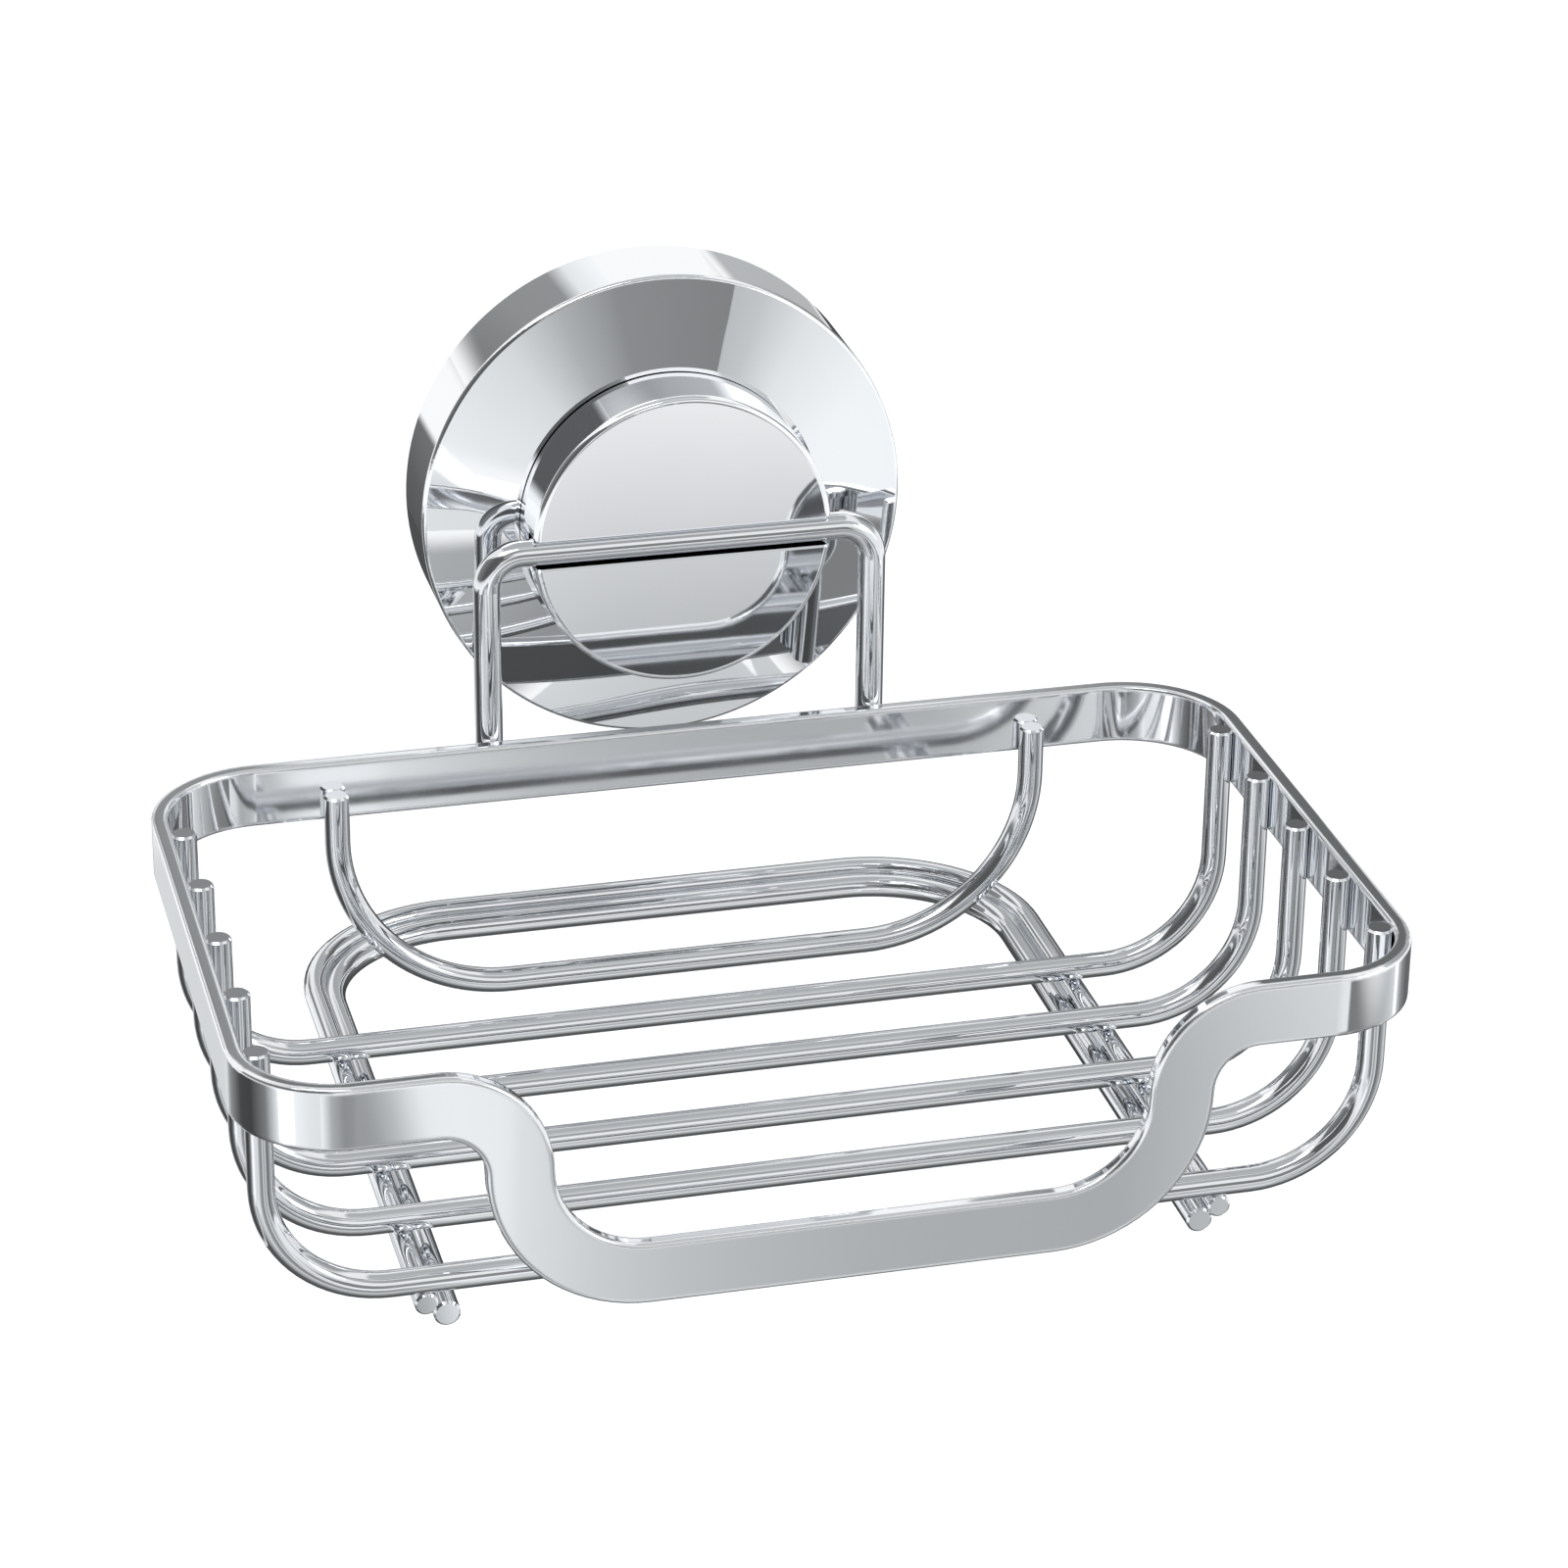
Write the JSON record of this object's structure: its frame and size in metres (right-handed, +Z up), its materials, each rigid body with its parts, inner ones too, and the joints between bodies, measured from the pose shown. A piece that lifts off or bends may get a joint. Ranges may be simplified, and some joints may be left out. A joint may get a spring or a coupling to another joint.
{
  "type": "wall soap holder",
  "caption": "Chromed wire soap basket with a dipped flat front rim, hung by a wire stirrup in the slot of a round twist-lock suction unit.",
  "frame": {"origin": "centre of the suction pad's sealing face, on the wall plane", "axes": "+Z up, +Y into the wall, -Y towards the room, X along the basket's width"},
  "size_m": [0.14, 0.111, 0.0947],
  "materials": {
    "chromed_strip": "polished",
    "chromed_wire": "polished",
    "chromed_plastic": "mirror polished",
    "soft_clear_plastic": "smooth, translucent",
    "grey_plastic": "moulded satin",
    "white_nylon": "moulded satin",
    "stainless_steel": "turned"
  },
  "bodies": {
    "wall_unit": {"suction_pad": "soft_clear_plastic", "pressure_cup": "grey_plastic", "cover": "chromed_plastic", "thrust_washer": "white_nylon"},
    "stem_unit": {"stem": "stainless_steel", "stem_plate": "stainless_steel", "cam_pin": "stainless_steel"},
    "knob_unit": {"knob": "chromed_plastic", "cam_barrel": "grey_plastic", "knob_screws": "stainless_steel", "wire_pad": "white_nylon"},
    "basket": {"rim_strip": "chromed_strip", "cross_wire_1": "chromed_wire", "cross_wire_2": "chromed_wire", "cross_wire_3": "chromed_wire", "cross_wire_4": "chromed_wire", "cross_wire_5": "chromed_wire", "rear_wire": "chromed_wire", "outer_runner": "chromed_wire", "inner_runner": "chromed_wire", "hanger_wire": "chromed_wire"}
  },
  "joints": [
    {"name": "knob_turn", "type": "hinge", "parent": "wall_unit", "child": "knob_unit", "pos_m": [0, 0, 0], "axis": [0, -1, 0], "range_deg": [0, 90]},
    {"name": "stem_slide", "type": "slide", "parent": "wall_unit", "child": "stem_unit", "axis": [0, 1, 0], "range_m": [0, 0.003], "deforming": ["suction_pad"]},
    {"name": "basket_pull", "type": "slide", "parent": "knob_unit", "child": "basket", "axis": [0, -1, 0], "range_m": [0, 0.03]}
  ],
  "couplings": [
    {"joint": "stem_slide", "follows": "knob_turn", "m_per_rad": 0.0019099}
  ]
}
